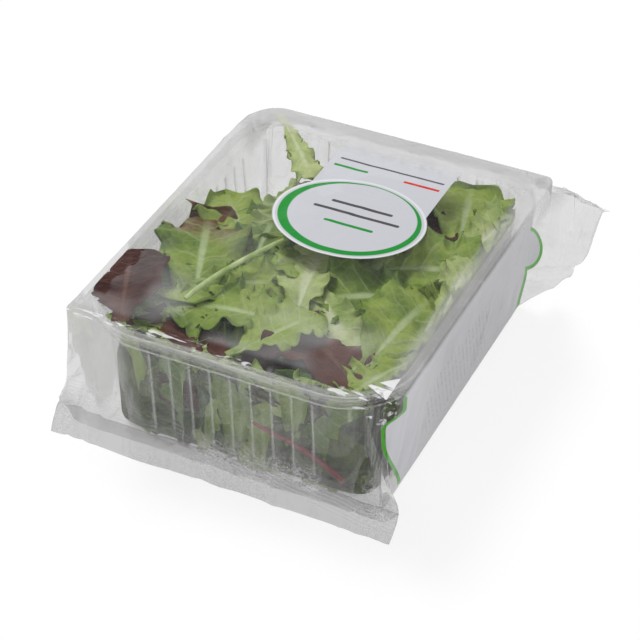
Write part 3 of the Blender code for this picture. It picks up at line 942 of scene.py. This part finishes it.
def printLayer(shade, where, x, y, z, normal):
    # the ink's shader, and where it covers the film
    p = filmPrint
    label, border, green, red, dark = labelMasks(shade, x, y, z)
    inPanel, line, rows, across = panelMasks(shade, where, x, y, z)
    # painted light: the side panel's print is lighter towards its front end
    panel = shade.mixColour(shade.ease(across, 56, 38), p["panel"], p["panelFrontLit"])
    colour = shade.mixColour(inPanel, p["label"], panel)
    masks = {"border": border, "grey": rows.max(dark), "green": green, "line": line, "red": red}
    for name, mask in masks.items():
        colour = shade.mixColour(mask, colour, p[name])
    ink = shade.node("ShaderNodeBsdfPrincipled", {}, {
        "Base Color": colour, "Roughness": 0.35, "Specular IOR Level": 0.2, "Normal": normal})
    return ink, label.max(inPanel, green, line) * p["cover"]


# the film

filmLook = {
    "clear": (0.853, 0.848, 0.85), "hazeAndHighlight": (0.82, 0.82, 0.83), "pall": (0.50, 0.495, 0.50),
    "paintedShade": (0.055, 0.053, 0.048), "rough": 0.12, "fresnelShare": 0.32, "mostShine": 0.7,
    # how pale each kind of mark is; glint, flat, crumple and fold are painted highlights and the streaks
    # partly so, and crease and hem set how much painted shade goes in
    "base": 0.003, "cloud": 0.010, "patch": 0.055, "longStreak": 0.17, "broadStreak": 0.13, "crumpleGlint": 0.34,
    "glint": 0.60, "flat": 0.75, "foldGlint": 0.16, "veil": 0.16, "crimp": 0.16, "backHaze": 0.03,
    "mostMilky": 0.8, "overWall": 0.55, "ends": 0.5, "tight": 0.95, "pallBack": 0.55, "pallRight": 0.40,
    "creaseShade": 0.45, "hem": 0.10,
}
# the crimped lines across both seals: the front ones lie at a slant, and run from one height to the other
crimps = {"pitch": 2.1, "depth": 0.16, "tilt": 0.13, "from": 12.5, "fromFull": 14, "toFull": 24, "to": 25.5}


def frontMarks(shade, where, x, y, z, front):
    # pale streaks, crumples, crimps and glints on the front end and the film's edges; the glints and the
    # lines on the crumples are painted highlights, and the streaks partly so
    look = filmLook
    overWall = front * shade.ease(x, -66, -54) * shade.ease(x, 74, 66) * shade.ease(z, 4, 12)
    ends = front.max(shade.ease(y, 94, 102), shade.ease(x.abs(), 71, 76) * look["ends"])
    ends = ends * (1 - overWall * look["overWall"])
    # partly milky haze and partly painted highlights: long and broad pale streaks
    long = shade.streaks(where, (210, 160, 16), (0.0, 0.5, 0), 3, 0.55, 0.5)
    broad = shade.streaks(where, (85, 85, 20), (0.2, -0.5, 0), 2, 0.5, 0.8)
    streak = shade.ease(long, 0.55, 0.70) * look["longStreak"]
    streak = streak + shade.ease(broad, 0.45, 0.72) * look["broadStreak"]
    # crumpled stretches low on the front
    crumpled = shade.ease(shade.noise(where, 30, 2, 0.5), 0.48, 0.56) * shade.ease(z, 34, 22) * front
    crumpled = crumpled.max(shade.ease(x, 58, 70) * shade.ease(z, 40, 26) * front)
    # painted highlights: thin pale lines along the crumples
    crumpleGlint = shade.band(shade.noise(where, 190, 3, 0.6, 3.0) - 0.5, 0.012, 0.05) * crumpled
    # painted highlights: glints where the film leaves the front rim and at the front right corner
    rimLine = shade.band(y + 91.5, 1.2, 3.0) * shade.ease(z, 66.5, 68)
    corner = shade.ease(x, 56, 62) * shade.ease(y, -84, -89) * shade.ease(z, 58, 63)
    glint = shade.ease(shade.streaks(where, (70, 260, 260), (0, 0, 0.2), 2, 0.6, 1.2), 0.56, 0.62)
    glint = glint * rimLine.max(corner)
    tilted = z + x * crimps["tilt"]
    line = shade.band((tilted / crimps["pitch"]).fract() - 0.5, 0.05, 0.22) * shade.ease(y, -93, -94.5)
    line = line * shade.ease(tilted, crimps["from"], crimps["fromFull"])
    line = line * shade.ease(tilted, crimps["to"], crimps["toFull"]) * shade.ease(broad, 0.35, 0.6, 0.3, 1)
    return streak * ends + crumpleGlint * look["crumpleGlint"] + glint * look["glint"] + line * look["crimp"]


def topMarks(shade, where, x, y, z):
    look = filmLook
    # painted highlight: one bright flat glint where the top is drawn down over the front right corner
    flat = (y < x - 145.0) * (y > x * -0.45 - 56.5) * (x < 71.2) * (z > 67)
    flat = flat * shade.ease(shade.streaks(where, (60, 260, 60), (0, 0, 0.6)), 0.36, 0.46)
    # a veil over the leaves along the front, where the film stands off them
    veil = shade.ease(y, -46, -66) * shade.ease(y, -88, -84) * (z > 66)
    veil = veil * shade.ease(shade.noise(where, 30, 2, 0.5), 0.40, 0.62)
    return flat * look["flat"] + veil * look["veil"]


def backMarks(shade, where, y):
    # painted highlights: thin bright lines along the folds on the loose back end, over a little haze
    look = filmLook
    foldGlint = shade.streaks(where, (16, 120, 40), (0, 0, 0.9), 2, 0.5, 0.4)
    other = shade.streaks(where, (20, 150, 40), (0, 0, -0.6), 2, 0.5, 0.4)
    back = shade.ease(y, 94, 102)
    foldGlint = shade.ease(foldGlint, 0.56, 0.68).max(shade.ease(other, 0.58, 0.70)) * back
    return foldGlint * look["foldGlint"] + back * look["backHaze"]


def filmMaterial():
    look = filmLook
    made, shade = newMaterial("clearFilm")
    where = shade.objectPlace()
    x, y, z = shade.split(where)
    x, y, z = x * 1000, (y - trayY) * 1000, z * 1000  # in mm from the tray's centre
    wrinkle = shade.noise(where, 130, 3, 0.55, 0.6)
    fine = shade.streaks(where, (420, 252, 420), detail=2)
    normal = shade.bump(wrinkle * 0.8 + fine * 0.12, 0.35, 1.2 * mm)
    ink, printed = printLayer(shade, where, x, y, z, normal)
    front = shade.ease(y, -88, -95)
    # milky patches where the film stands clear of the leaves
    hazeAndGlints = shade.ease(shade.noise(where, 24, 3, 0.5), 0.48, 0.66) * look["patch"] + look["base"]
    # the marks added here are haze and, many of them, painted highlights
    hazeAndGlints = hazeAndGlints + shade.ease(wrinkle, 0.35, 0.75) * look["cloud"] + topMarks(shade, where, x, y, z)
    hazeAndGlints = hazeAndGlints + frontMarks(shade, where, x, y, z, front) + backMarks(shade, where, y)
    # the film lies tight on the red leaf at the front left, and is clear there
    bound = x + 65.2 + (wrinkle - 0.5) * 11
    tight = shade.ease(bound, 0.6, -0.6) * shade.ease(y, -79, -75) * shade.ease(y, -36, -40) * (z > 66)
    loose = 1 - tight * look["tight"]
    hazeAndGlints = (hazeAndGlints * loose).min(look["mostMilky"])
    layers = shade.mixShader(hazeAndGlints, shade.clear(look["clear"]), shade.matt(look["hazeAndHighlight"], normal))
    # it is dull where it is drawn over the tray's edge at the back and the right
    overBack = shade.ease(y, 66, 80) * shade.ease(y, 112, 98) * shade.ease(z, 44, 58)
    overRight = shade.ease(x, 64, 70) * shade.ease(z, 56, 64) * shade.ease(y, -84, -70)
    pall = (overBack * look["pallBack"]).max(overRight * look["pallRight"])
    layers = shade.mixShader(pall, layers, shade.matt(look["pall"], normal))
    # painted shade: dark lines in the folds beside the front right corner, and a little painted shade in the
    # seal that hangs down
    creaseShade = shade.streaks(where, (260, 150, 34), (0.0, 0.25, 0), 2, 0.5, 0.6)
    creaseShade = shade.band(creaseShade - 0.5, 0.015, 0.05) * shade.ease(x, 60, 67) * shade.ease(y, -80, -86)
    dark = creaseShade * shade.ease(z, 26, 44) * look["creaseShade"] + front * shade.ease(z, 34, 18) * look["hem"]
    layers = shade.mixShader(dark, layers, shade.matt(look["paintedShade"]))
    shine = (shade.fresnel(1.5, normal) * look["fresnelShare"] * loose).min(look["mostShine"])
    layers = shade.letLampsThrough(shade.mixShader(shine, layers, shade.gloss(look["rough"], normal)))
    shade.surface(shade.mixShader(printed, layers, ink))
    return made


def filmRings():
    # rings across the bag, in mm: the place along the bag, four corners (top left, top right, foot right and
    # foot left) each as x, the distance in y from one of the tray's edges, and z, then the share of the crown
    side, foot, top = edgeX + film["overTray"], edgeX - film["footInset"], topZ + film["overTray"]
    seal, hem, backHem = film["sealWidth"] / 2, -film["hemReach"], film["backReach"]
    thick, start = film["sheetGap"], film["frontLength"]
    rings = []

    def ring(place, edge, corners, crown=0.0):
        rings.append((place, [np.array((x, edge + y, z)) for x, y, z in corners], crown))

    def even(place, edge, halfTop, halfFoot, yTop, zTop, yFoot, zFoot, crown=0.0):
        ring(place, edge, ((-halfTop, yTop, zTop), (halfTop, yTop, zTop), (halfFoot, yFoot, zFoot),
                           (-halfFoot, yFoot, zFoot)), crown)

    # the front seal hangs to the ground: place, how far its left and right ends are in from its full width,
    # how far the right end is out of the hem's plane, height, gap between the sheets, and how much lower the
    # inner one is
    for place, leftIn, rightIn, rightOut, z, gap, lower in (
            (0, 3, 12, 1, 0.25, 0, 0), (7, 4.5, 10.3, 0.8, 7, 1, 0), (21, 7.5, 8.5, 1.5, 18, 1.3, 0.4)):
        left, right = (-seal + leftIn, hem + 2.5), (seal - rightIn, hem + rightOut)
        inner = thick * gap
        ring(place, -edgeY, ((*left, z), (*right, z), (right[0], right[1] + inner, z - lower),
                             (left[0], left[1] + inner, z - lower)))
    ring(40, -edgeY, ((-side - 3.6, hem + 2, 38), (side + 2.4, hem + 1.4, 38), (foot + 8, 4, 7),
                      (-foot - 10, 4, 9)))
    ring(66, -edgeY, ((-side - 1.8, -1, 66), (side - 0.4, -1, 66), (foot + 1, 9, 1.5), (-foot - 3, 9, 1.5)))
    ring(start, -edgeY, ((-side - 0.6, 2, top), (side - 0.2, 2, top), (foot, 13, 0.4), (-foot, 13, 0.4)), 1.0)
    for share in (-0.8, -0.5, -0.2, 0.2, 0.5, 0.8):
        y = share * edgeY
        even(start + y + edgeY, y, side, foot, 0, top - backSag(y * mm) / mm, 0, 0.4, 1.0)
    end, low = start + 2 * edgeY, top - rimSag["depth"] / mm
    even(end - 2.5, edgeY, side - 0.2, foot + 2, -1.6, low - 0.6, -12, 0.4, 1.0)
    even(end + 4, edgeY, side + 0.5, foot + 6, 1.0, low - 4.5, -3, 0.4)
    even(end + 20, edgeY, side + 4, side + 5, 13, 51.5, 12, 1.5)
    even(end + 36, edgeY, seal - 5, seal - 4, backHem - 14, 40, backHem - 16.3, 12)
    even(end + 46, edgeY, seal - 1, seal - 1, backHem - 7, 34.5, backHem - 7.3, 34.5 - thick)
    even(end + film["backLength"], edgeY, seal, seal, backHem - 0.2, 32, backHem - 0.2, 32)
    return rings


def smoothKeys(places, values, at):
    # a smooth curve through the key values (finite difference Hermite), one column at a time
    places, values = np.array(places), np.array(values)
    slopes = np.zeros_like(values)
    gap = np.diff(places)[:, None]
    rise = np.diff(values, axis=0) / gap
    slopes[1:-1] = (rise[:-1] * gap[1:] + rise[1:] * gap[:-1]) / (gap[1:] + gap[:-1])
    slopes[0], slopes[-1] = rise[0], rise[-1]
    # no overshoot: a slope is kept within what its neighbours allow
    limit = 3 * np.abs(rise)
    for part in (slice(0, -1), slice(1, None)):
        slopes[part] = np.clip(slopes[part], -limit, limit)
    flips = np.sign(rise[:-1]) * np.sign(rise[1:]) <= 0
    slopes[1:-1][flips] = 0
    index = np.clip(np.searchsorted(places, at) - 1, 0, len(places) - 2)
    h = (places[index + 1] - places[index])[:, None]
    s = (at - places[index])[:, None] / h
    a, b, ma, mb = values[index], values[index + 1], slopes[index] * h, slopes[index + 1] * h
    fromStart = (2 * s**3 - 3 * s**2 + 1) * a + (s**3 - 2 * s**2 + s) * ma
    return fromStart + (3 * s**2 - 2 * s**3) * b + (s**3 - s**2) * mb


def filmPlaces():
    # places along the bag, closer together at the seals
    end = film["frontLength"] + 2 * edgeY
    last = end + film["backLength"]
    spans = ((0, 24, 0.45), (24, 75, 1.1), (75, end - 5, 1.9), (end - 5, end + 36, 1.1),
             (end + 36, last, 0.45))
    found = []
    for low, high, step in spans:
        found += list(np.linspace(low, high, int(round((high - low) / step)), endpoint=False))
    return np.array([*found, last])


def makeFilm():
    rings = filmRings()
    places = [place for place, corners, crown in rings]
    at = filmPlaces()
    corners = np.stack([smoothKeys(places, [corners[k] for _, corners, _ in rings], at) for k in range(4)])
    crown = np.interp(at, places, [crown for _, _, crown in rings])
    piece, column, row = wrappedGrid("filmBag", film["around"], len(at) - 1)
    # the way round: the top, the right side, the underside and the left side
    stops = np.array(film["sides"])
    share = column / film["around"]
    side = np.clip(np.searchsorted(stops, share, side="right") - 1, 0, 3)
    local = (share - stops[side]) / (stops[side + 1] - stops[side])
    start, stop = corners[side, row], corners[(side + 1) % 4, row]
    x, y, z = ((start + (stop - start) * local[:, None]) * mm).T
    z = z + np.where(side == 0, crownLift(x, y) * crown[row], 0)
    writePoints(piece.data, np.stack([x, y + trayY, z], axis=1))
    mergeDoubles(piece)
    faceOutwards(piece)
    print("film", len(piece.data.vertices), "points")
    return piece


# folds in each part of the film: how many, where (from and to across, from and to along), slant and its
# spread in degrees, then the least and most length, width and depth in mm
folds = {
    "frontLong": (40, (-90, 90, 5, 55), 78, 28, (30, 80), (1.2, 3.8), (0.5, 2.4)),
    "frontLeft": (16, (-90, -50, 10, 50), 60, 14, (30, 60), (1, 2), (0.8, 2.4)),
    "frontFoot": (60, (-30, 80, 0, 26), 20, 60, (6, 20), (0.6, 1.4), (0.3, 0.9)),
    "sides": (40, (-95, 95, 0, 60), 90, 14, (20, 60), (1.2, 3), (0.2, 1.0)),
    "back": (56, (-90, 90, 95, 135), 90, 40, (20, 60), (1, 3), (0.5, 2.4)),
    "top": (16, (-70, 70, -90, 90), 60, 60, (30, 90), (2, 5), (0.1, 0.4)),
}


def creases(rng, a, b, name):
    # sharp soft folds: each is a short line on the sheet with a pointed ridge or valley
    count, box, angle, spread, length, width, depth = folds[name]
    total = np.zeros_like(a)
    for number in range(count):
        ca, cb = rng.uniform(box[0], box[1]), rng.uniform(box[2], box[3])
        turn = math.radians(angle + rng.normal(0, spread))
        half = rng.uniform(*length) / 2
        wide = rng.uniform(*width)
        deep = rng.uniform(*depth) * rng.choice([-1, 1])
        da, db = a - ca, b - cb
        along = da * math.cos(turn) + db * math.sin(turn)
        bow = 0.12 * half * (along / half) ** 2 * rng.uniform(-1, 1)
        off = -da * math.sin(turn) + db * math.cos(turn) + bow
        window = np.clip(1 - (along / half) ** 2, 0, 1) ** 1.2
        total += deep * np.exp(-np.abs(off) / wide) * window
    return total


def roundCorners(points, left, right, weight):
    # pulls the film in round the rim's corners at one end, to the radius on the left and on the right
    x, y = points[:, 0].copy(), points[:, 1].copy()
    turn = np.where(x < 0, left, right)
    limitX, limitY = edgeX + np.where(x < 0, 2.6, 1.4) - turn, edgeY + 1.2 - turn
    qx, qy = np.abs(x) - limitX, np.abs(y) - limitY
    reach = np.hypot(qx, qy)
    cornered = (qx > 0) & (qy > 0) & (reach > turn)
    scale = 1 + (np.where(cornered, turn / np.maximum(reach, 1e-9), 1) - 1) * weight
    points[:, 0] = np.where(cornered, np.sign(x) * (limitX + qx * scale), x)
    points[:, 1] = np.where(cornered, np.sign(y) * (limitY + qy * scale), y)


def foldMoves(rng, x, y, z):
    # how far each point moves out of the sheet
    frontMask = smoothStep(-86, -93, y) * smoothStep(69, 60, z)
    front = sum(creases(rng, x, z, name) for name in ("frontLong", "frontLeft", "frontFoot"))
    sideMask = smoothStep(66, 70, np.abs(x)) * smoothStep(-94, -80, y) * smoothStep(98, 85, y)
    side = creases(rng, y, z, "sides")
    back = creases(rng, x, y, "back")
    topMask = smoothStep(66, 69, z) * (1 - frontMask)
    top = creases(rng, x, y, "top")
    return front * frontMask + side * sideMask + back * smoothStep(92, 100, y) + top * topMask


def wrinkleFilm(piece):
    # folds and crimps, as moves along the sheet's own direction out, in mm from the tray's centre
    middle = np.array((0, trayY, 0))
    before = (readPoints(piece.data) - middle) / mm
    x, y, z = before.T
    rng = np.random.default_rng(23)
    move = foldMoves(rng, x, y, z)
    # where two sheets are sealed together they move as one
    sealedFront = smoothStep(25, 20, z) * smoothStep(-91, -94, y)
    sealedBack = smoothStep(edgeY + 20, edgeY + 28, y)
    normals = readVectors(piece.data, "normal") * (1 - sealedFront - sealedBack)[:, None]
    normals[:, 1] -= 0.6 * sealedFront
    normals[:, 2] += 0.8 * sealedBack
    # crimp lines across both seals
    tilted = z + crimps["tilt"] * x
    sealFront = smoothStep(crimps["from"], crimps["fromFull"], tilted) * smoothStep(-93, -95, y)
    sealFront = sealFront * smoothStep(crimps["to"], crimps["toFull"], tilted)
    sealBack = smoothStep(edgeY + 31, edgeY + 32.5, y) * smoothStep(edgeY + 42, edgeY + 41, y)
    wave = 2 * math.pi / crimps["pitch"]
    points = before + normals * move[:, None]
    wander = Waves(rng, 60, 4)
    hang = smoothStep(-93, -96, y) * smoothStep(30, 8, z)
    points[:, 1] += 1.1 * wander.at(x, z * 0.3) * hang - np.sin(tilted * wave) * crimps["depth"] * sealFront
    flap = smoothStep(edgeY + 15, edgeY + 42, y)
    points[:, 2] += 2.5 * wander.at(x * 1.4, y) * flap + np.sin(y * wave) * crimps["depth"] * sealBack
    # the film rounds the corners of the rim
    z = points[:, 2].copy()
    high = smoothStep(20, 66, z)
    roundCorners(points, 2 + 8 * high, 2 + 13 * high, (y < 0) * smoothStep(20, 34, z))
    behind = (y > 0) * smoothStep(46, 60, z) * smoothStep(edgeY + 16, edgeY + 3, y)
    roundCorners(points, 26.0, 12.0, behind)
    # the back seal's ends droop, and its middle stands up a little
    x, y, z = points.T.copy()
    droop = smoothStep(40, 92, np.abs(x)) * smoothStep(edgeY + 12, edgeY + 42, y)
    lift = smoothStep(70, 0, np.abs(x)) * smoothStep(edgeY + 16, edgeY + 42, y)
    points[:, 2] = np.maximum(z - np.minimum(5.5 * droop, 0.4 * z) + 2 * lift, film["lowest"])
    writePoints(piece.data, points * mm + middle)
    piece.data.shade_smooth()


# camera, floor and lamps

view = {
    "azimuth": 25.51, "elevation": 37.92, "distance": 0.9903, "lens": 123.75, "shiftRight": -0.0005,
    "shiftUp": -0.0124, "aimZ": 0.040, "sensor": 36, "clipStart": 0.01,
}


def makeCamera():
    a, e = math.radians(view["azimuth"]), math.radians(view["elevation"])
    back = Vector((math.sin(a) * math.cos(e), -math.cos(a) * math.cos(e), math.sin(e)))
    right = Vector((math.cos(a), math.sin(a), 0))
    up = back.cross(right)
    camera = bpy.data.cameras.new("camera")
    camera.lens, camera.sensor_width = view["lens"], view["sensor"]
    camera.clip_start = view["clipStart"]
    obj = bpy.data.objects.new("camera", camera)
    bpy.context.scene.collection.objects.link(obj)
    aim = Vector((0, trayY, view["aimZ"])) + right * view["shiftRight"] + up * view["shiftUp"]
    turn = Matrix((right, up, back)).transposed().to_4x4()
    obj.matrix_world = Matrix.Translation(aim + back * view["distance"]) @ turn
    bpy.context.scene.camera = obj


def seenDirectly(shade):
    names = ("Is Camera Ray", "Is Glossy Ray", "Is Transmission Ray")
    rays = [shade.node("ShaderNodeLightPath", out=name) for name in names]
    return rays[0].max(*rays[1:])


studio = {"floorSize": 6, "floor": (0.88, 0.88, 0.88), "floorGlow": 0.82, "worldLight": 0.42}


def makeStage():
    deselectAll()
    bpy.ops.mesh.primitive_plane_add(size=studio["floorSize"], location=(0, 0, 0))
    floor = bpy.context.object
    floor.name = "floor"
    made, shade = newMaterial("floorWhite")
    glow = shade.node("ShaderNodeEmission", {}, {"Color": (1, 1, 1, 1), "Strength": 1.0})
    seen = seenDirectly(shade) * studio["floorGlow"]
    shade.surface(shade.mixShader(seen, shade.matt(studio["floor"]), glow))
    floor.data.materials.append(made)
    world = bpy.data.worlds.new("studio")
    bpy.context.scene.world = world
    world.use_nodes = True
    world.node_tree.nodes.clear()
    shade = Shade(world.node_tree)
    light, white = (shade.node("ShaderNodeBackground", {}, {"Color": (1, 1, 1, 1), "Strength": strength})
                    for strength in (studio["worldLight"], 1.0))
    mixed = shade.mixShader(seenDirectly(shade), light, white)
    output = world.node_tree.nodes.new("ShaderNodeOutputWorld")
    world.node_tree.links.new(mixed.out, output.inputs["Surface"])


lamps = {
    "key": {"place": (-0.45, 0.25, 0.95), "size": 0.35, "watts": 8.6, "mirrored": False},
    "fill": {"place": (0.35, -0.9, 0.5), "size": 0.8, "watts": 3.5, "mirrored": True},
    "right": {"place": (0.9, 0.2, 0.5), "size": 0.6, "watts": 2.0, "mirrored": True},
}


def makeLamps():
    for name, lamp in lamps.items():
        light = bpy.data.lights.new(name, "AREA")
        light.shape = "SQUARE"
        light.size, light.energy = lamp["size"], lamp["watts"]
        obj = bpy.data.objects.new(name, light)
        bpy.context.scene.collection.objects.link(obj)
        obj.visible_glossy = lamp["mirrored"]
        place = Vector(lamp["place"])
        aim = Vector((0, trayY, 0.03)) - place
        obj.matrix_world = Matrix.Translation(place) @ aim.to_track_quat("-Z", "Y").to_matrix().to_4x4()


# put together

scene = bpy.context.scene
scene.view_settings.view_transform = "Standard"
scene.cycles.transparent_max_bounces = 32

makeCamera()
makeStage()
makeLamps()
print("stage ready")

leaves = makeLeaves()
stems = [makeStalk(name, **shape) for name, shape in stalks.items()]
core = makeCore()
for piece in [*leaves, *stems, core]:
    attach(piece, "root")
    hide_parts("salad")
print("leaves ready")

tray = makeTray()
tray.data.materials.append(trayMaterial())
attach(tray, "root")
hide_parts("tray")
print("tray ready")

bag = makeFilm()
wrinkleFilm(bag)
bag.data.materials.append(filmMaterial())
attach(bag, "root")
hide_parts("bag")
print("film ready")
